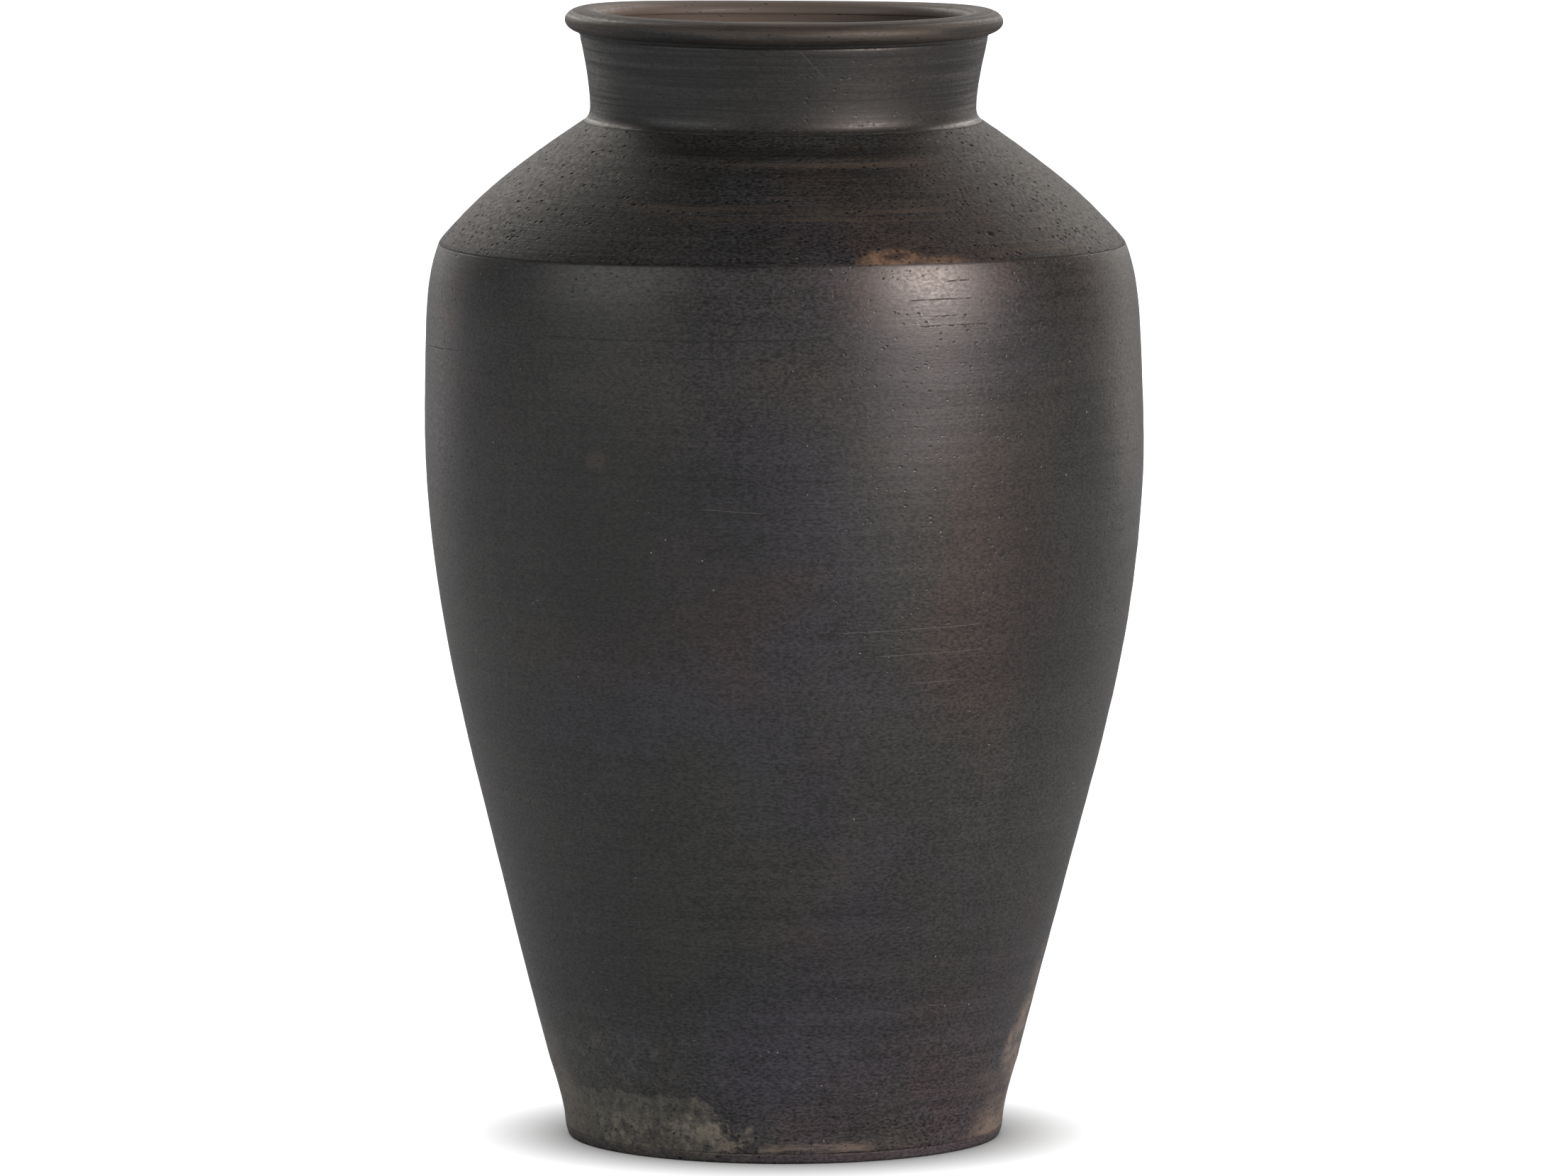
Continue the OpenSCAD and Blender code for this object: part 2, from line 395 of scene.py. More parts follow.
def close_poles(mesh):
    """Merges the points that lie together within 0.02 mm of the upright axis."""
    made = bmesh.new()
    made.from_mesh(mesh)
    # The lean takes the slab's inner pole 0.1 mm off that axis, so its points stay apart.
    axis = [v for v in made.verts if math.hypot(v.co.x, v.co.y) < 0.02 * MM]
    bmesh.ops.remove_doubles(made, verts=axis, dist=0.1 * MM)
    made.to_mesh(mesh)
    made.free()


def base_disc():
    arris = 0.8 * MM
    centre_out = [(0, 0), (GROUND_R - arris, 0)]
    edge = [(GROUND_R - arris, 0), (GROUND_R, arris), FOOT]
    return turned_piece("clay_base_disc", "base_disc", "bare_clay", [
        Face(centre_out, 60, underside_relief, run=0.0),
        Face(edge, 16, skin_relief, run=GROUND_RUN - arris, fine=(0, 3)),
        Joint([FOOT, (BOSS_R, FOOT[1]), (BOSS_R, FLOOR_Z), (BOSS_R - 1 * MM, FLOOR_Z)]),
        Face([(BOSS_R - 1 * MM, FLOOR_Z), (0, FLOOR_Z)], 60, lining_relief, inside=1.0),
    ], [foot_seam])


def lower_wall():
    lining = above(below(lower_lining, SCARF_Z), FLOOR_Z + 0.5 * MM)
    return turned_piece("clay_lower_wall", "lower_wall", "burnished_clay", [
        Face(lower_skin, 168, skin_relief, run=FOOT_RUN, fine=(4, 3)),
        Joint(WAIST, lining[-1:]),
        Face(lining[::-1], 34, lining_relief, inside=1.0),
        Joint(lining[:1], [(BOSS_R, FLOOR_Z), (BOSS_R, FOOT[1]), FOOT]),
    ], [foot_seam])


def upper_wall():
    scarf = above(lower_lining, SCARF_Z)
    lining = chain(scarf, below(upper_lining, LEDGE_Z))
    return turned_piece("clay_upper_wall", "upper_wall", "burnished_clay", [
        Face(upper_skin, 172, skin_relief, run=WAIST_RUN, fine=(3, 7)),
        Joint([SEAM, (SPIGOT_R, SEAM[1]), (SPIGOT_R, LEDGE_Z)], lining[-1:]),
        Face(lining[::-1], 30, lining_relief, inside=1.0),
        Joint(lining[:1], WAIST),
    ], [shoulder_seam])


def shoulder():
    lining = dome_lining[dome_lining[:, 0] < SPIGOT_IN_R - 1 * MM]
    inner = chain(lining[::-1], (SPIGOT_IN_R, LEDGE_Z))
    return turned_piece("clay_shoulder", "shoulder", "smoked_clay", [
        Face(shoulder_skin, 168, skin_relief, run=SEAM_RUN, rough=1.7, fine=(7, 4)),
        Joint([FLANGE, FLANGE_STEP, MOUTH_TOP, MOUTH_FOOT], inner[:1]),
        Face(inner, 34, lining_relief, inside=1.0),
        Joint([(SPIGOT_IN_R, LEDGE_Z), (SPIGOT_R, LEDGE_Z), (SPIGOT_R, SEAM[1]), SEAM]),
    ], [shoulder_seam, flange_seam])


def neck_collar():
    throat_in = THROAT[0] - NECK_WALL
    spigot = [(throat_in, SPIGOT_Z + 2 * MM), (throat_in + 2 * MM, SPIGOT_Z), (MOUTH_R, SPIGOT_Z)]
    tongue = [(TONGUE_OUT_R, GROOVE[1]), (TONGUE_OUT_R, TONGUE_Z), (TONGUE_IN_R, TONGUE_Z)]
    return turned_piece("clay_neck_collar", "neck_collar", "burnished_clay", [
        Face(collar_skin, 120, skin_relief, run=FLANGE_RUN, rough=1.3, fine=(5, 3)),
        Joint(GROOVE, tongue, (TONGUE_IN_R, GROOVE[1]), SADDLE_IN),
        Face(chain(neck_lining[::-1], spigot), 78, lining_relief, rough=0.5, inside=1.0),
        Joint(spigot[-1:], MOUTH_TOP, FLANGE_STEP, FLANGE),
    ], [flange_seam, roll_seam])


def rim_roll():
    tongue = [(TONGUE_IN_R, TONGUE_Z), (TONGUE_OUT_R, TONGUE_Z), (TONGUE_OUT_R, GROOVE[1])]
    return turned_piece("clay_rim_roll", "rim_roll", "burnished_clay", [
        Face(chain(roll_skin, LIP_FOOT, SADDLE_IN), 190, skin_relief, run=GROOVE_RUN, fine=(3, 0)),
        Joint(SADDLE_IN, (TONGUE_IN_R, GROOVE[1]), tongue, GROOVE),
    ], [roll_seam])


def joint_coil(node, free_side, *behind):
    """A coil of soft clay pressed into a corner: its free side, then the corner behind it."""
    return turned_piece("clay_" + node, node, "inner_clay", [
        Face(free_side, 26, lining_relief, rough=0.6, inside=1.0),
        Joint(free_side[-1], *behind, free_side[0]),
    ])


def base_joint_coil():
    top = above(lower_lining, base_coil_high.z)[0]
    toe = (BOSS_R - 10 * MM, FLOOR_Z)
    corner = below(above(lower_lining, FLOOR_Z + 0.5 * MM), base_coil_high.z)
    free_side = bend(top, (BOSS_R - 1 * MM, FLOOR_Z + 3 * MM), toe)
    return joint_coil("base_joint_coil", free_side, (BOSS_R, FLOOR_Z), corner[:-1])


def waist_joint_coil():
    low = below(lower_lining, waist_coil_low.z)[-1]
    high = above(upper_lining, waist_coil_high.z)[0]
    bulge = (low + high) / 2 - (7 * MM, 0)
    corner = chain(above(lower_lining, waist_coil_low.z), below(upper_lining, waist_coil_high.z))
    return joint_coil("waist_joint_coil", bend(high, bulge, low), corner[1:-1:20])


def shoulder_joint_coil():
    tip = (SPIGOT_IN_R, LEDGE_Z)
    toe = above(upper_lining, shoulder_coil_low.z)[0]
    corner = below(above(upper_lining, shoulder_coil_low.z), LEDGE_Z)
    free_side = bend(tip, (tip[0] + 1 * MM, toe[1] + 4 * MM), toe)
    return joint_coil("shoulder_joint_coil", free_side, corner[1::10], corner[-1:])


def neck_joint_coil():
    foot = (MOUTH_R, SPIGOT_Z + 0.5 * MM)
    under = dome_lining[-1]
    reach = dome_lining[np.argmin(np.abs(dome_lining[:, 1] - neck_coil_low.z))]
    free_side = bend(foot, (under[0] + 1 * MM, foot[1] + 1 * MM), reach)
    return joint_coil("neck_joint_coil", free_side, under, MOUTH_FOOT)


pieces = [
    base_disc(), lower_wall(), upper_wall(), shoulder(), neck_collar(), rim_roll(),
    base_joint_coil(), waist_joint_coil(), shoulder_joint_coil(), neck_joint_coil(),
]


# --- Clay materials ----------------------------------------------------------------------------

# How far round the jar, in radians, a metre of a patch's raggedness or fading reaches.
RAGGED_TURN = 25.0
FADED_TURN = 15.0


class Clay:
    """A Principled clay material and short calls that add its shader nodes."""

    def __init__(self, name, specular):
        self.material = bpy.data.materials.new(name)
        self.material.use_nodes = True
        self.tree = self.material.node_tree
        self.shader = self.tree.nodes["Principled BSDF"]
        self.shader.inputs["Specular IOR Level"].default_value = specular
        self.place = self.tree.nodes.new("ShaderNodeTexCoord").outputs["Object"]

    def give(self, socket, value):
        """Links another node's output to a socket, or sets the socket to a plain value."""
        if isinstance(value, bpy.types.NodeSocket):
            self.tree.links.new(value, socket)
        else:
            socket.default_value = value

    def math(self, operation, a, b=0.0):
        node = self.tree.nodes.new("ShaderNodeMath")
        node.operation = operation
        self.give(node.inputs[0], a)
        self.give(node.inputs[1], b)
        return node.outputs[0]

    def fit(self, value, low, high, to_low=0.0, to_high=1.0):
        """The value's range low to high, smoothly moved to to_low to to_high and held there."""
        node = self.tree.nodes.new("ShaderNodeMapRange")
        node.interpolation_type = "SMOOTHSTEP"
        for socket, given in zip(node.inputs, (value, low, high, to_low, to_high)):
            self.give(socket, given)
        return node.outputs[0]

    def round_and_up(self):
        """Azimuth from the front in radians, and height."""
        parts = self.tree.nodes.new("ShaderNodeSeparateXYZ")
        self.give(parts.inputs[0], self.place)
        backwards = self.math("MULTIPLY", parts.outputs[1], -1.0)
        return self.math("ARCTAN2", parts.outputs[0], backwards), parts.outputs[2]

    def between(self, value, low, high, fade):
        """1 from low to high, falling to 0 over fade outside them."""
        rising = self.fit(value, low - fade, low)
        falling = self.fit(value, high + fade, high)
        return self.math("MULTIPLY", rising, falling)

    def stroke(self, first, last, start, end, width, fade=0.02):
        """A line round the jar between two azimuths in degrees, from one height to another."""
        first, last = math.radians(first), math.radians(last)
        angle, height = self.round_and_up()
        slope = (end - start) / (last - first)
        rise = self.math("MULTIPLY", self.math("SUBTRACT", angle, first), slope)
        line = self.math("ADD", rise, start)
        wander = self.math("MULTIPLY", self.math("SUBTRACT", self.noise(30.0, 2), 0.5), 2 * MM)
        off = self.math("ABSOLUTE", self.math("SUBTRACT", height, self.math("ADD", line, wander)))
        across = self.between(angle, first, last, fade)
        return self.math("MULTIPLY", self.fit(off, width, 0.3 * width), across)

    def patch(self, first, last, low, high, fade, ragged):
        """1 between two azimuths in degrees and two heights, with soft and ragged edges."""
        first, last = math.radians(first), math.radians(last)
        angle, height = self.round_and_up()
        fray = self.math("SUBTRACT", self.noise(85.0, 5, 0.7), 0.5)
        fray = self.math("MULTIPLY", fray, 2 * ragged)
        swing = self.math("MULTIPLY", fray, RAGGED_TURN)
        across = self.between(self.math("ADD", angle, swing), first, last, fade * FADED_TURN)
        upwards = self.between(self.math("ADD", height, fray), low, high, fade)
        return self.math("MULTIPLY", across, upwards)

    def attribute(self, name):
        node = self.tree.nodes.new("ShaderNodeAttribute")
        node.attribute_name = name
        return node.outputs["Fac"]

    def turned(self, across, along):
        """Coordinates for a pattern: its cells per metre round the jar and up its skin."""
        parts = self.tree.nodes.new("ShaderNodeSeparateXYZ")
        self.give(parts.inputs[0], self.place)
        join = self.tree.nodes.new("ShaderNodeCombineXYZ")
        self.give(join.inputs[0], self.math("MULTIPLY", parts.outputs[0], across))
        self.give(join.inputs[1], self.math("MULTIPLY", parts.outputs[1], across))
        self.give(join.inputs[2], self.math("MULTIPLY", self.attribute("run"), along))
        return join.outputs[0]

    def noise(self, scale, detail=3.0, roughness=0.55, at=None):
        node = self.tree.nodes.new("ShaderNodeTexNoise")
        self.give(node.inputs["Vector"], at or self.place)
        node.inputs["Scale"].default_value = scale
        node.inputs["Detail"].default_value = detail
        node.inputs["Roughness"].default_value = roughness
        return node.outputs["Fac"]

    def dots(self, scale, radius, share, long=0.7):
        """Scattered dots, 1 in their middles: radius in cells, share of the cells that have one.

        They are longer round the jar than up it where long is under 1.
        """
        cells = self.tree.nodes.new("ShaderNodeTexVoronoi")
        cells.inputs["Scale"].default_value = 1.0
        self.give(cells.inputs["Vector"], self.turned(long * scale, scale))
        split = self.tree.nodes.new("ShaderNodeSeparateColor")
        self.give(split.inputs[0], cells.outputs["Color"])
        spread_out = self.math("MULTIPLY", split.outputs[0], 7.13)
        chance = self.math("FRACT", spread_out)
        has_one = self.math("LESS_THAN", chance, share)
        dot = self.fit(cells.outputs["Distance"], radius, 0.35 * radius)
        return self.math("MULTIPLY", dot, has_one)

    def blob(self, centre, size, ragged):
        """1 inside a soft ellipsoid with a ragged edge and 0 outside. Size is its three half-widths."""
        move = self.tree.nodes.new("ShaderNodeVectorMath")
        move.operation = "SUBTRACT"
        self.give(move.inputs[0], self.place)
        move.inputs[1].default_value = centre
        scale = self.tree.nodes.new("ShaderNodeVectorMath")
        scale.operation = "DIVIDE"
        self.give(scale.inputs[0], move.outputs[0])
        scale.inputs[1].default_value = size
        far = self.tree.nodes.new("ShaderNodeVectorMath")
        far.operation = "LENGTH"
        self.give(far.inputs[0], scale.outputs[0])
        fray = self.math("SUBTRACT", self.noise(0.6 / min(size), 4), 0.5)
        fray = self.math("MULTIPLY", fray, 2 * ragged)
        return self.fit(self.math("ADD", far.outputs["Value"], fray), 1.15, 0.45)

    def mix(self, share, a, b, blend="MIX"):
        node = self.tree.nodes.new("ShaderNodeMix")
        node.data_type, node.blend_type = "RGBA", blend
        self.give(node.inputs[0], share)
        self.give(node.inputs[6], a)
        self.give(node.inputs[7], b)
        return node.outputs[2]

    def shade(self, colour, value):
        """A colour made darker or lighter by a plain factor."""
        node = self.tree.nodes.new("ShaderNodeVectorMath")
        node.operation = "SCALE"
        self.give(node.inputs[0], colour)
        self.give(node.inputs["Scale"], value)
        return node.outputs[0]

    def bump(self, height, depth, before=None):
        """A bump whose height of 1 stands depth metres high."""
        node = self.tree.nodes.new("ShaderNodeBump")
        node.inputs["Distance"].default_value = depth
        self.give(node.inputs["Height"], height)
        if before is not None:
            self.give(node.inputs["Normal"], before)
        return node.outputs[0]

    def finish(self, colour, roughness, normal):
        """Links the three results to the shader."""
        self.give(self.shader.inputs["Base Color"], colour)
        self.give(self.shader.inputs["Roughness"], roughness)
        self.give(self.shader.inputs["Normal"], normal)
        return self.material


def grey(value, tint=(1.0, 1.0, 1.0)):
    """A colour of one value, tinted if asked."""
    return (value * tint[0], value * tint[1], value * tint[2], 1.0)


# How light the smoked clay is, and the tints of its clouds.
SMOKE = 0.033
WARM = (1.07, 0.99, 0.93)
COOL = (0.99, 0.93, 1.32)
GREEN = (0.99, 1.02, 0.95)
BROWN = (1.50, 0.92, 0.84)
PURPLE = (1.10, 0.94, 1.14)
CRUST_TINT = (1.20, 1.00, 0.86)

# What lies on the clay or shows through it.
LIME = (0.500, 0.455, 0.365, 1.0)
# Rubbed tan wear on the foot, and also the colour of a painted highlight over its joint.
TAN_WEAR_AND_HIGHLIGHT = (0.380, 0.300, 0.245, 1.0)
RUST = (0.270, 0.172, 0.112, 1.0)
CRUST = (0.115, 0.088, 0.066, 1.0)
# Near black: dirt in the joint lines, and painted shade in the pits and the tool grooves.
SHADE_AND_DIRT = grey(0.007)

# Soft spots, for Clay.blob: the centre, the three half-widths and how ragged the edge is.
COOL_BELLY = ((-0.005, -0.150, 0.285), (0.050, 0.060, 0.080), 0.5)
COOL_FOOT = ((0.020, -0.109, 0.055), (0.075, 0.050, 0.050), 0.5)
BROWN_SIDE = ((0.092, -0.128, 0.262), (0.040, 0.045, 0.080), 0.6)
# The next two are painted shade: a tall darker spot right of the highlight, and one on the belly left
# of the middle.
SHADE_RIGHT_OF_HIGHLIGHT = ((0.119, -0.103, 0.310), (0.036, 0.060, 0.150), 0.4)
SHADE_BELLY_LEFT = ((-0.060, -0.145, 0.285), (0.075, 0.060, 0.060), 0.5)
SALT_BEHIND = ((0.010, 0.095, 0.014), (0.085, 0.050, 0.018), 0.6)
SALT_FLAKE = ((-0.0304, -0.0953, 0.0140), (0.0070, 0.0100, 0.0055), 1.6)
RUBBED_RIGHT_LOW = ((0.108, -0.022, 0.008), (0.060, 0.046, 0.026), 1.5)
RUBBED_RIGHT_HIGH = ((0.110, -0.022, 0.044), (0.034, 0.020, 0.040), 1.5)
RUBBED_LEFT = ((-0.108, -0.014, 0.028), (0.060, 0.036, 0.040), 0.5)
SMUDGE = ((-0.082, -0.140, 0.3216), (0.006, 0.010, 0.006), 1.7)
STONE_HOLE = ((0.0912, -0.1106, 0.4182), (0.0020, 0.0020, 0.0016), 0.2)
RUST_SPOT = ((0.047, -0.143, 0.4094), (0.016, 0.020, 0.0052), 0.5)
RUST_TRAIL = ((0.064, -0.137, 0.4082), (0.022, 0.020, 0.0026), 0.5)
RUST_BLOTCH = ((0.0493, -0.1427, 0.4108), (0.0075, 0.009, 0.0018), 0.9)

# Lines, for Clay.stroke: first and last azimuth in degrees, the heights there and the half-width.
TOOL_LINES = [
    (-41, 6, 0.3735, 0.3752, 0.5 * MM), (-16, -9, 0.3668, 0.3668, 0.4 * MM),
    (23, 34, 0.3800, 0.3800, 0.36 * MM), (25, 28, 0.3840, 0.3842, 0.32 * MM),
    (21, 31, 0.3915, 0.3915, 0.30 * MM), (28, 31, 0.3994, 0.3996, 0.32 * MM),
    (-80, -64, 0.3600, 0.3625, 0.5 * MM), (96, 131, 0.3655, 0.3670, 0.45 * MM),
    (138, 150, 0.3835, 0.3835, 0.36 * MM), (-148, -112, 0.3560, 0.3548, 0.45 * MM),
    (-176, -160, 0.3760, 0.3764, 0.4 * MM), (152, 174, 0.3020, 0.3010, 0.4 * MM),
]
SCRATCHES = [
    (10, 33, 0.2455, 0.2467, 0.32 * MM), (16, 34, 0.2345, 0.2351, 0.28 * MM),
    (34, 38, 0.0714, 0.0708, 0.30 * MM), (5, 11, 0.4962, 0.4862, 0.25 * MM),
    (22, 30, 0.2215, 0.2222, 0.28 * MM), (-12, -4, 0.3000, 0.2990, 0.25 * MM),
]

# Brush marks on the front of the shoulder: the line, its strength and its colour.
SHOULDER_BANDS = [
    ((-45, 58, 0.4525, 0.4525, 3.2 * MM), 0.75, SHADE_AND_DIRT),
    ((-20, 30, 0.4481, 0.4479, 2.2 * MM), 0.50, CRUST),
    ((-40, 25, 0.4438, 0.4438, 2.4 * MM), 0.50, SHADE_AND_DIRT),
    ((-36, 16, 0.4312, 0.4312, 1.6 * MM), 0.22, CRUST),
    ((-22, 24, 0.4284, 0.4282, 3.2 * MM), 0.42, CRUST),
    ((-20, 16, 0.4256, 0.4256, 1.4 * MM), 0.38, CRUST),
]

# Joint lines: distance along the skin, half-width and strength of the dirt in them.
SEAM_DIRT = [
    (FOOT_RUN, 0.6 * MM, 0.6), (SEAM_RUN - 0.2 * MM, 0.9 * MM, 0.85),
    (FLANGE_RUN, 0.7 * MM, 0.5), (GROOVE_RUN, 1.0 * MM, 0.7),
]


def clouded(clay, smoke):
    """The clay's reduced black: warm, greenish, cool and brown clouds that fade into each other, and
    darker clouds that are soot at random and painted shade in two soft spots.
    """
    colour = clay.mix(clay.fit(clay.noise(6.0, 3), 0.35, 0.65), grey(smoke, GREEN), grey(smoke, WARM))
    cool = clay.fit(clay.noise(9.0, 3), 0.50, 0.66)
    cool = clay.math("MAXIMUM", cool, clay.blob(*COOL_BELLY))
    cool = clay.math("MAXIMUM", cool, clay.blob(*COOL_FOOT))
    brown = clay.fit(clay.noise(8.0, 3, 0.6), 0.55, 0.72)
    brown = clay.math("MAXIMUM", brown, clay.blob(*BROWN_SIDE))
    colour = clay.mix(clay.math("MULTIPLY", cool, 0.8), colour, grey(smoke, COOL))
    colour = clay.mix(clay.math("MULTIPLY", brown, 0.75), colour, grey(smoke, BROWN))
    # Darker clouds: soot at random, and painted shade in the two spots.
    soot_and_shade = clay.fit(clay.noise(7.0, 3), 0.54, 0.72)
    soot_and_shade = clay.math("MAXIMUM", soot_and_shade, clay.blob(*SHADE_RIGHT_OF_HIGHLIGHT))
    soot_and_shade = clay.math("MAXIMUM", soot_and_shade, clay.blob(*SHADE_BELLY_LEFT))
    return clay.mix(clay.math("MULTIPLY", soot_and_shade, 0.5), colour, grey(0.4 * smoke))


def tone(clay, streakiness):
    """Lighter and darker: mottling, grain, and streaks round the jar that come and go."""
    patchy = clay.fit(clay.noise(14.0, 3), 0.35, 0.65, 0.25, 1.0)
    fine = 0.8 * streakiness
    streaks = clay.noise(1.0, 4, 0.65, clay.turned(5, 190))
    streaks = clay.fit(streaks, 0.25, 0.75, -streakiness, streakiness)
    lines = clay.fit(clay.noise(1.0, 3, 0.6, clay.turned(14, 1300)), 0.3, 0.7, -fine, fine)
    mottling = clay.fit(clay.noise(24.0, 5, 0.62), 0.3, 0.7, -0.17, 0.17)
    grain = clay.fit(clay.noise(1.0, 3, 0.7, clay.turned(520, 1100)), 0.32, 0.68, -0.88, 0.88)
    value = clay.math("MULTIPLY", clay.math("ADD", streaks, lines), patchy)
    value = clay.math("ADD", value, clay.math("ADD", mottling, grain))
    return clay.math("MAXIMUM", clay.math("ADD", value, 1.0), 0.1)


def brushed(clay, threshold, across, along):
    """Short dry streaks round the jar, 1 where they are. A lower threshold gives more of them."""
    streaks = clay.noise(1.0, 3, 0.6, clay.turned(across, along))
    return clay.fit(streaks, threshold, threshold + 0.12)


def pits(clay, size=1.0):
    """Small burst pits all over, with a few larger ones."""
    groups = clay.fit(clay.noise(26.0, 3), 0.40, 0.62, 0.2, 1.0)
    tiny = clay.math("MULTIPLY", clay.dots(520.0, 0.30 * size, 0.22), groups)
    small = clay.dots(290.0, 0.21 * size, 0.22)
    large = clay.dots(120.0, 0.11 * size, 0.28)
    return clay.math("MAXIMUM", tiny, clay.math("MAXIMUM", small, large))


def specks(clay):
    """Pale grains of sand, in loose groups."""
    groups = clay.fit(clay.noise(22.0, 2), 0.42, 0.58, 0.1, 1.0)
    return clay.math("MULTIPLY", clay.dots(290.0, 0.11, 0.06, 1.0), groups)


def lime_bloom(clay):
    """Pale salts low on the wall, crusted on the left of the front and thinner behind."""
    crust = clay.fit(clay.noise(230.0, 6, 0.85), 0.42, 0.60, 0.22, 1.0)
    fading = clay.fit(clay.round_and_up()[0], -2.0, -1.2)
    left = clay.math("MULTIPLY", clay.patch(-120, -19, 0.002, 0.028, 2 * MM, 10 * MM), fading)
    left = clay.math("MULTIPLY", left, crust)
    flaked = clay.fit(clay.noise(150.0, 6, 0.8), 0.49, 0.58)
    flakes = clay.math("MULTIPLY", clay.patch(-58, -8, 0.001, 0.017, 5 * MM, 10 * MM), flaked)
    spots = clay.patch(-62, -26, 0.036, 0.052, 8 * MM, 9 * MM)
    spots = clay.math("MULTIPLY", spots, clay.fit(clay.noise(150.0, 5, 0.75), 0.48, 0.64, 0.0, 0.2))
    back = clay.blob(*SALT_BEHIND)
    back = clay.math("MULTIPLY", back, clay.math("MULTIPLY", crust, 0.45))
    bloom = clay.math("ADD", clay.math("MULTIPLY", left, 0.52), clay.math("MULTIPLY", flakes, 0.55))
    flake = clay.blob(*SALT_FLAKE)
    flake = clay.math("MULTIPLY", flake, clay.fit(clay.noise(420.0, 4, 0.8), 0.36, 0.60, 0.2, 1.0))
    bloom = clay.math("MAXIMUM", bloom, flake)
    return clay.math("MAXIMUM", clay.math("MAXIMUM", bloom, spots), back)


def foot_wear_and_highlight(clay, colour):
    """The foot's rubbed tan edges, and a thin brown line just over its joint, which is a painted
    highlight on the groove's upper edge.
    """
    uneven = clay.fit(clay.noise(1.0, 5, 0.75, clay.turned(60, 150)), 0.36, 0.60, 0.25, 1.0)
    low = clay.blob(*RUBBED_RIGHT_LOW)
    high = clay.blob(*RUBBED_RIGHT_HIGH)
    right = clay.math("MULTIPLY", clay.math("MAXIMUM", low, high), uneven)
    colour = clay.mix(clay.math("MULTIPLY", right, 0.85), colour, TAN_WEAR_AND_HIGHLIGHT)
    left = clay.math("MULTIPLY", clay.blob(*RUBBED_LEFT), uneven)
    colour = clay.mix(clay.math("MULTIPLY", left, 0.45), colour, TAN_WEAR_AND_HIGHLIGHT)
    # Painted highlight: a light tan line along the upper edge of the foot's groove, on the front.
    line = clay.patch(-4, 22, 0.0058, 0.0082, 2.4 * MM, 3.5 * MM)
    broken = clay.fit(clay.noise(1.0, 5, 0.75, clay.turned(60, 500)), 0.38, 0.62)
    line = clay.math("MULTIPLY", line, broken)
    return clay.mix(clay.math("MULTIPLY", line, 0.6), colour, TAN_WEAR_AND_HIGHLIGHT)


def inner_colour(clay):
    """The browner clay inside, where the smoke was thin and nobody burnished."""
    streaks = clay.noise(1.0, 4, 0.6, clay.turned(6, 190))
    colour = clay.mix(clay.fit(streaks, 0.3, 0.7), grey(0.115, CRUST_TINT), grey(0.200, CRUST_TINT))
    return clay.shade(colour, clay.fit(clay.noise(30.0, 4), 0.3, 0.7, 0.75, 1.25))


def joint_dirt(clay):
    """Dirt in the joint lines, thick in places and nearly gone in others."""
    dirt_and_shade = 0.0
    for run, width, strength in SEAM_DIRT:
        off = clay.math("ABSOLUTE", clay.math("SUBTRACT", clay.attribute("run"), run))
        line = clay.fit(off, width, 0.3 * width)
        dirt_and_shade = clay.math("MAXIMUM", dirt_and_shade, clay.math("MULTIPLY", line, strength))
    return clay.math("MULTIPLY", dirt_and_shade, clay.fit(clay.noise(55.0, 4), 0.38, 0.62, 0.4, 1.0))


def tool_lines(clay):
    """The grooves that a tool left round the wall, each broken here and there. Their dark colour is
    painted shade.
    """
    lines = 0.0
    for line in TOOL_LINES:
        lines = clay.math("MAXIMUM", lines, clay.stroke(*line))
    return clay.math("MULTIPLY", lines, clay.fit(clay.noise(260.0, 3), 0.36, 0.52, 0.35, 1.0))


def scratched(clay, colour):
    """Light scratches: the plain ones on the front, and hairlines in patches all round."""
    for line in SCRATCHES:
        colour = clay.mix(clay.math("MULTIPLY", clay.stroke(*line), 0.55), colour, grey(0.16, WARM))
    where = clay.fit(clay.noise(17.0, 3), 0.48, 0.66)
    hairs = clay.math("MULTIPLY", brushed(clay, 0.60, 13, 1500), where)
    return clay.mix(clay.math("MULTIPLY", hairs, 0.28), colour, grey(0.12, WARM))


def neck_and_rim(clay, colour, turning):
    """The darker neck with its turning marks, the handled roll and its bare brown lip."""
    run = clay.attribute("run")
    colour = clay.shade(colour, clay.fit(run, SEAM_RUN, FLANGE_RUN, 1.0, 0.42))
    colour = clay.shade(colour, clay.math("ADD", turning, 1.0))
    handled = clay.fit(clay.noise(1.0, 4, 0.6, clay.turned(16, 260)), 0.36, 0.62, 0.05, 0.45)
    handled = clay.math("MULTIPLY", handled, clay.fit(run, GROOVE_RUN, GROOVE_RUN + 6 * MM))
    colour = clay.mix(handled, colour, CRUST)
    lip = clay.fit(run, LIP_RUN - 4 * MM, LIP_RUN + 4 * MM)
    return clay.mix(clay.math("MULTIPLY", lip, 0.7), colour, grey(0.17, CRUST_TINT))


def burnished_relief(clay, holes):
    """Pebbles and turning ridges in the burnished skin, wide tool marks, and its holes."""
    pebbles = clay.fit(clay.noise(1.0, 3, 0.6, clay.turned(620, 900)), 0.3, 0.7)
    ridges = clay.noise(1.0, 3, 0.6, clay.turned(9, 620))
    tools = clay.noise(1.0, 2, 0.5, clay.turned(6, 120))
    normal = clay.bump(pebbles, 0.016 * MM)
    normal = clay.bump(ridges, 0.05 * MM, normal)
    normal = clay.bump(tools, 0.09 * MM, normal)
    return clay.bump(clay.math("MULTIPLY", holes, -1.0), 0.14 * MM, normal)


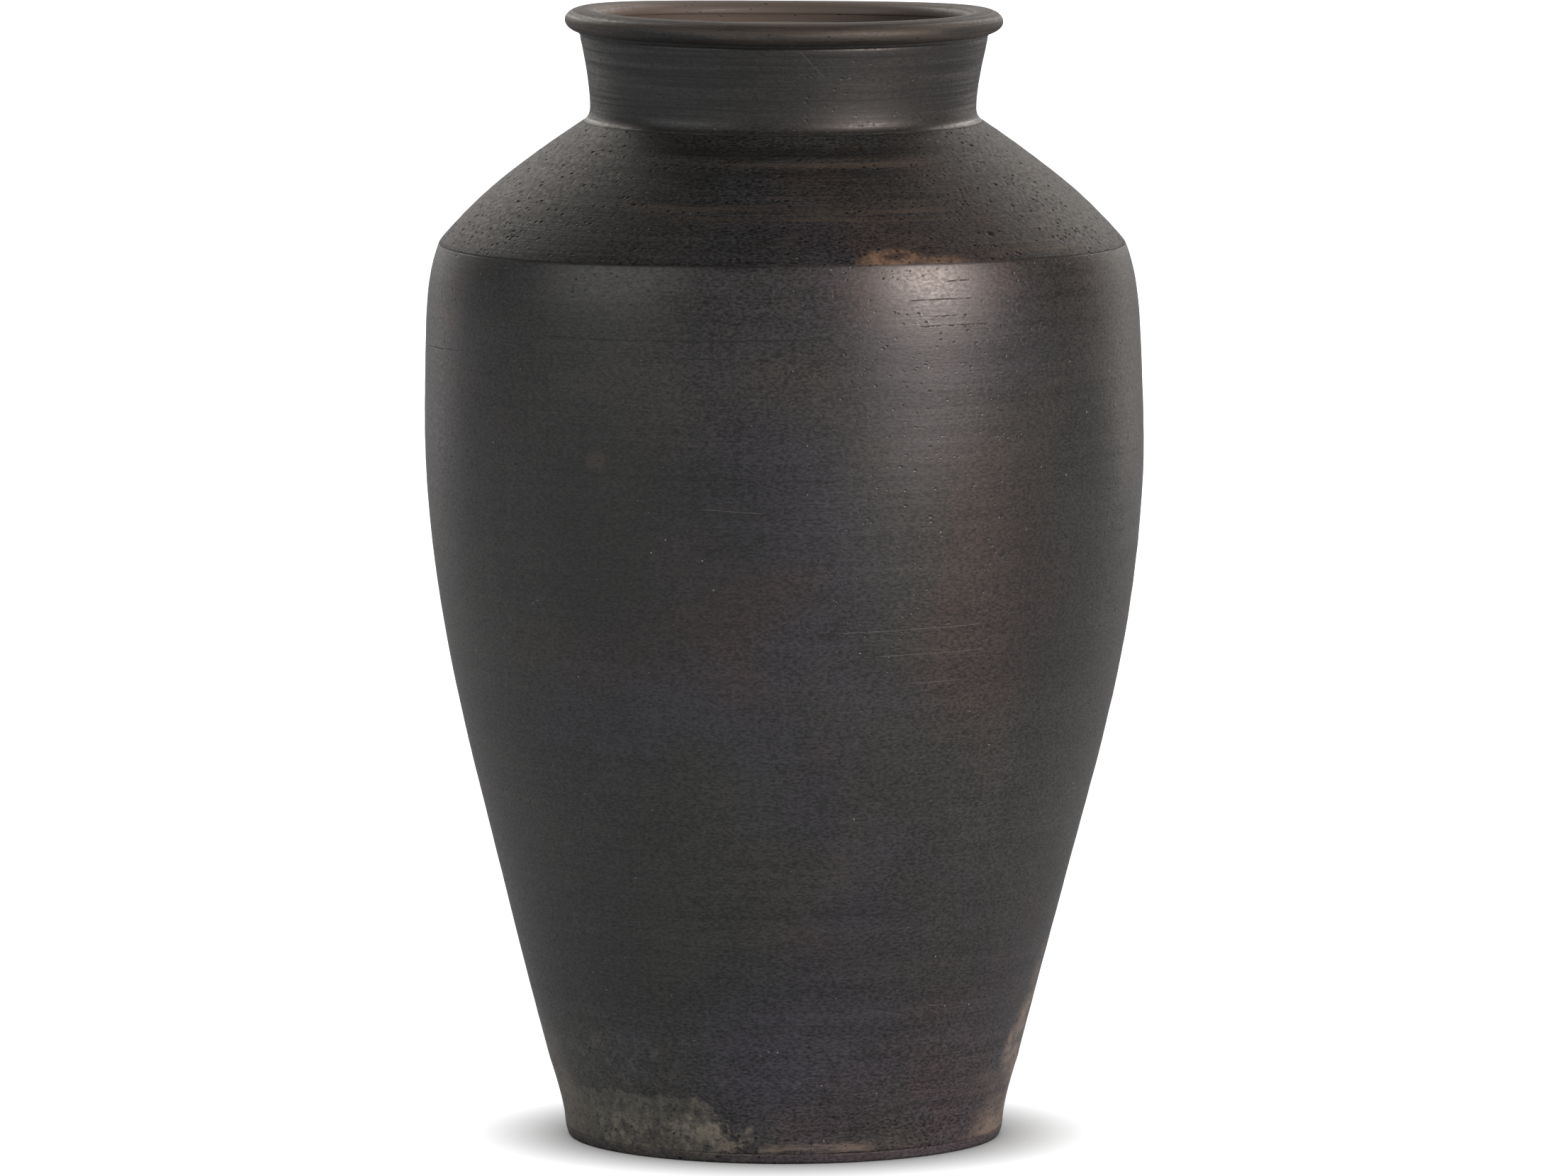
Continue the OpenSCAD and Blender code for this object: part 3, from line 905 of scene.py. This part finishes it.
def burnished_roughness(clay, turning, bloom, dirt_and_shade):
    """The low satin sheen, duller on the neck, the roll, the salts and the lining."""
    run = clay.attribute("run")
    grain = clay.fit(clay.noise(1.0, 3, 0.6, clay.turned(420, 800)), 0.3, 0.7, 0.355, 0.475)
    grain = clay.math("ADD", grain, clay.fit(run, SEAM_RUN, FLANGE_RUN, 0.0, 0.08))
    grain = clay.math("ADD", grain, clay.fit(run, GROOVE_RUN, GROOVE_RUN + 4 * MM, 0.0, 0.12))
    grain = clay.math("SUBTRACT", grain, clay.math("MULTIPLY", turning, 0.12))
    roughness = clay.math("ADD", grain, clay.math("MULTIPLY", bloom, 0.3))
    roughness = clay.math("MAXIMUM", roughness, clay.math("MULTIPLY", dirt_and_shade, 0.58))
    return clay.math("MAXIMUM", roughness, clay.math("MULTIPLY", clay.attribute("inside"), 0.8))


def burnished_clay():
    """The walls, the neck and the roll."""
    clay = Clay("burnished_clay", 0.95)
    holes = clay.math("MAXIMUM", pits(clay), tool_lines(clay))
    # The pits and tool grooves, which get painted shade, together with the dirt in the joint lines.
    dirt_and_shade = clay.math("MAXIMUM", holes, joint_dirt(clay))
    bloom = lime_bloom(clay)
    run = clay.attribute("run")
    turning = clay.fit(clay.noise(1.0, 4, 0.7, clay.turned(10, 600)), 0.3, 0.7, -0.8, 0.8)
    turning = clay.math("MULTIPLY", turning, clay.fit(run, SEAM_RUN, FLANGE_RUN))
    colour = clay.shade(clouded(clay, SMOKE), tone(clay, 0.28))
    # Painted light: the wall is made up to 2.2 times lighter at the foot, fading over 90 mm of skin,
    # standing in for light from the pale floor.
    colour = clay.shade(colour, clay.fit(run, FOOT_RUN, FOOT_RUN + 0.09, 2.2, 1.0))
    colour = neck_and_rim(clay, colour, turning)
    colour = scratched(clay, colour)
    colour = clay.mix(clay.math("MULTIPLY", bloom, 0.85), colour, LIME)
    colour = foot_wear_and_highlight(clay, colour)
    colour = clay.mix(clay.math("MULTIPLY", clay.blob(*SMUDGE), 0.35), colour, CRUST)
    # Painted shade: the pits and tool grooves are coloured near black. The joint lines are dark with
    # dirt.
    colour = clay.mix(dirt_and_shade, colour, SHADE_AND_DIRT)
    colour = clay.mix(clay.math("MULTIPLY", specks(clay), 0.95), colour, grey(0.75, WARM))
    colour = clay.mix(clay.attribute("inside"), colour, inner_colour(clay))
    roughness = burnished_roughness(clay, turning, bloom, dirt_and_shade)
    return clay.finish(colour, roughness, burnished_relief(clay, holes))


def brush_marks(clay, colour):
    """Dry brown streaks all over the shoulder, and the bands brushed round its front."""
    where = clay.fit(clay.noise(15.0, 3), 0.50, 0.70)
    dry = clay.math("MULTIPLY", brushed(clay, 0.52, 7, 420), where)
    colour = clay.mix(clay.math("MULTIPLY", dry, 0.30), colour, CRUST)
    brushwork = clay.noise(1.0, 5, 0.7, clay.turned(11, 650))
    for line, strength, paint in SHOULDER_BANDS:
        least = 0.5 if paint == SHADE_AND_DIRT else 0.0
        broken = clay.fit(brushwork, 0.40, 0.62, least, 1.0)
        band = clay.math("MULTIPLY", clay.stroke(*line, fade=0.25), broken)
        colour = clay.mix(clay.math("MULTIPLY", band, strength), colour, paint)
    return colour


def rust_spot(clay, colour):
    """The orange spot over the shoulder's edge, with its trail and its dark middle."""
    gritty = clay.fit(clay.noise(330.0, 4, 0.7), 0.34, 0.60, 0.30, 1.0)
    trail = clay.math("MULTIPLY", clay.blob(*RUST_TRAIL), 0.6)
    oxide = clay.math("MAXIMUM", clay.blob(*RUST_SPOT), trail)
    oxide = clay.math("MULTIPLY", oxide, gritty)
    colour = clay.mix(clay.math("MULTIPLY", oxide, 0.8), colour, RUST)
    blotch = clay.blob(*RUST_BLOTCH)
    return clay.mix(clay.math("MULTIPLY", blotch, 0.85), colour, grey(0.03, BROWN))


def smoked_clay():
    """The matt shoulder."""
    clay = Clay("smoked_clay", 0.4)
    holes = clay.math("MAXIMUM", pits(clay, 1.35), clay.blob(*STONE_HOLE))
    dirt_and_shade = clay.math("MAXIMUM", holes, joint_dirt(clay))
    colour = clay.shade(clouded(clay, 0.85 * SMOKE), tone(clay, 0.30))
    colour = clay.mix(1.0, colour, (0.94, 0.99, 1.06, 1.0), "MULTIPLY")
    colour = brush_marks(clay, colour)
    colour = scratched(clay, colour)
    colour = rust_spot(clay, colour)
    # Painted shade: the pits and the stone's hole are coloured near black. The joint lines are dark
    # with dirt.
    colour = clay.mix(dirt_and_shade, colour, SHADE_AND_DIRT)
    colour = clay.mix(clay.math("MULTIPLY", specks(clay), 0.9), colour, grey(0.55, WARM))
    colour = clay.mix(clay.attribute("inside"), colour, inner_colour(clay))
    ridges = clay.noise(1.0, 4, 0.65, clay.turned(8, 560))
    normal = clay.bump(ridges, 0.20 * MM)
    normal = clay.bump(clay.noise(420.0, 3), 0.12 * MM, normal)
    normal = clay.bump(clay.math("MULTIPLY", holes, -1.0), 0.7 * MM, normal)
    roughness = clay.fit(clay.noise(500.0, 3), 0.3, 0.7, 0.54, 0.66)
    roughness = clay.math("MAXIMUM", roughness, clay.math("MULTIPLY", dirt_and_shade, 0.95))
    return clay.finish(colour, roughness, normal)


def bare_clay():
    """The floor slab, whose edge shows under the foot line."""
    clay = Clay("bare_clay", 0.4)
    grit = clay.noise(650.0, 4, 0.7)
    colour = clay.shade(clouded(clay, 4.0 * SMOKE), tone(clay, 0.08))
    colour = clay.mix(0.5, colour, grey(3.8 * SMOKE, PURPLE))
    colour = clay.mix(clay.math("MULTIPLY", lime_bloom(clay), 0.4), colour, LIME)
    scuffs = clay.fit(clay.noise(120.0, 5, 0.7), 0.52, 0.72, 0.0, 0.4)
    colour = clay.mix(scuffs, colour, grey(0.10, WARM))
    # Painted shade: the pits are coloured near black.
    colour = clay.mix(pits(clay), colour, SHADE_AND_DIRT)
    roughness = clay.fit(grit, 0.3, 0.7, 0.62, 0.78)
    return clay.finish(colour, roughness, clay.bump(grit, 0.16 * MM))


def inner_clay():
    """The four coils inside the joints."""
    clay = Clay("inner_clay", 0.3)
    grit = clay.noise(500.0, 4, 0.7)
    roughness = clay.fit(grit, 0.3, 0.7, 0.72, 0.88)
    return clay.finish(inner_colour(clay), roughness, clay.bump(grit, 0.2 * MM))


materials = {make.__name__: make() for make in (burnished_clay, smoked_clay, bare_clay, inner_clay)}
for piece in pieces:
    piece.data.materials.append(materials[piece["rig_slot"]])


# --- Floor, light and camera -------------------------------------------------------------------

# The floor's paleness to the camera and to the clay, how far the shadow round the foot reaches,
# and the floor's own light.
FLOOR_SEEN = 0.95
FLOOR_FELT = 0.21
CONTACT_REACH = 0.045
FLOOR_LIGHT = 5.0

# The room's dim light, and where it fades into the white wall: the Y part of a direction.
ROOM_LIGHT = 0.10
WHITE_WALL = (0.70, 0.97)

LIGHT_AIM = Vector((0.06, -0.12, 0.36))
CAMERA_AIM = Vector((0.0, 0.0, 0.2479))
CAMERA_PLACE = Vector((0.0, -6.415, 0.9687))
CAMERA_LENS = 328.4

# Azimuth from the front towards +X and elevation, in degrees, then distance, width, height and power.
SOFTBOXES = {
    "key": (51, 22, 1.7, 0.38, 0.65, 19.3, (1.0, 0.85, 0.78)),
    "key_low": (38, 0, 1.9, 0.6, 1.2, 2.3, (1.0, 0.93, 0.94)),
    "rim_right": (148, 30, 2.2, 0.7, 1.0, 11, (1.0, 0.92, 0.85)),
    "rim_left": (-148, 30, 2.2, 0.7, 1.0, 11, (1.0, 0.93, 0.86)),
    "edge_right": (140, 6, 2.2, 0.7, 1.2, 1.8, (1.0, 0.91, 0.83)),
    "edge_left": (-140, 6, 2.2, 0.7, 1.2, 1.3, (1.0, 0.92, 0.85)),
    "fill": (-62, 22, 2.2, 1.6, 1.0, 5.5, (1.0, 0.98, 0.97)),
}

jar = bpy.data.collections.new("jar")
for piece in pieces:
    jar.objects.link(piece)


def floor():
    """A wide pale floor. The clay sees it dimmer than the camera does, as if it ended near the jar."""
    mesh = bpy.data.meshes.new("floor")
    half, back = 400.0, 500.0
    corners = [(-half, -half, 0), (half, -half, 0), (half, back, 0), (-half, back, 0)]
    mesh.from_pydata(corners, [], [(0, 1, 2, 3)])
    ground = bpy.data.objects.new("floor", mesh)
    bpy.context.scene.collection.objects.link(ground)
    paper = bpy.data.materials.new("paper")
    paper.use_nodes = True
    tree = paper.node_tree
    shader = tree.nodes["Principled BSDF"]
    shader.inputs["Roughness"].default_value = 1.0
    shader.inputs["Specular IOR Level"].default_value = 0.0
    mix = tree.nodes.new("ShaderNodeMix")
    mix.data_type = "RGBA"
    mix.inputs[6].default_value = grey(FLOOR_FELT)
    mix.inputs[7].default_value = grey(FLOOR_SEEN)
    path = tree.nodes.new("ShaderNodeLightPath")
    tree.links.new(path.outputs["Is Camera Ray"], mix.inputs[0])
    contact = tree.nodes.new("ShaderNodeAmbientOcclusion")
    contact.inputs["Distance"].default_value = CONTACT_REACH
    tree.links.new(mix.outputs[2], contact.inputs["Color"])
    tree.links.new(contact.outputs["Color"], shader.inputs["Base Color"])
    mesh.materials.append(paper)
    return ground


def world():
    """White to the camera. To the clay it is a dim room with a white wall behind the jar."""
    room = bpy.data.worlds.new("room")
    bpy.context.scene.world = room
    room.use_nodes = True
    tree = room.node_tree
    background = tree.nodes["Background"]
    direction = tree.nodes.new("ShaderNodeTexCoord").outputs["Generated"]
    parts = tree.nodes.new("ShaderNodeSeparateXYZ")
    tree.links.new(direction, parts.inputs[0])
    behind = tree.nodes.new("ShaderNodeMapRange")
    behind.interpolation_type = "SMOOTHSTEP"
    tree.links.new(parts.outputs[1], behind.inputs[0])
    for socket, value in zip(behind.inputs[1:5], (*WHITE_WALL, ROOM_LIGHT, 1.0)):
        socket.default_value = value
    seen = tree.nodes.new("ShaderNodeLightPath").outputs["Is Camera Ray"]
    strength = tree.nodes.new("ShaderNodeMath")
    strength.operation = "MAXIMUM"
    tree.links.new(behind.outputs[0], strength.inputs[0])
    tree.links.new(seen, strength.inputs[1])
    tree.links.new(strength.outputs[0], background.inputs["Strength"])
    background.inputs["Color"].default_value = (1, 1, 1, 1)


def softbox(name, azimuth, elevation, distance, width, height, power, colour):
    """An area light that faces the upper front of the jar and lights the jar alone."""
    lamp = bpy.data.lights.new(name, "AREA")
    lamp.shape, lamp.size, lamp.size_y = "RECTANGLE", width, height
    lamp.energy, lamp.color = power, colour
    light = bpy.data.objects.new(name, lamp)
    bpy.context.scene.collection.objects.link(light)
    turn, lift = math.radians(azimuth), math.radians(elevation)
    away = Vector((math.sin(turn) * math.cos(lift), -math.cos(turn) * math.cos(lift), math.sin(lift)))
    light.location = LIGHT_AIM + distance * away
    light.rotation_euler = away.to_track_quat("Z", "Y").to_euler()
    light.visible_camera = False
    light.light_linking.receiver_collection = jar


def floor_light(ground):
    """Soft light from above that reaches the floor alone, so that only the contact shadow stays."""
    lamp = bpy.data.lights.new("floor_light", "SUN")
    lamp.angle, lamp.energy = math.radians(150), FLOOR_LIGHT
    light = bpy.data.objects.new("floor_light", lamp)
    bpy.context.scene.collection.objects.link(light)
    only = bpy.data.collections.new("lit_from_above")
    only.objects.link(ground)
    light.light_linking.receiver_collection = only


def camera():
    """A long lens in front of the jar, a little above it and looking slightly down at its axis."""
    data = bpy.data.cameras.new("camera")
    data.lens, data.sensor_width = CAMERA_LENS, 36.0
    data.clip_end = 2000.0
    eye = bpy.data.objects.new("camera", data)
    bpy.context.scene.collection.objects.link(eye)
    eye.location = CAMERA_PLACE
    eye.rotation_euler = (CAMERA_AIM - CAMERA_PLACE).to_track_quat("-Z", "Y").to_euler()
    bpy.context.scene.camera = eye


bpy.context.scene.view_settings.view_transform = "Standard"
floor_light(floor())
world()
for box, values in SOFTBOXES.items():
    softbox(box, *values)
camera()
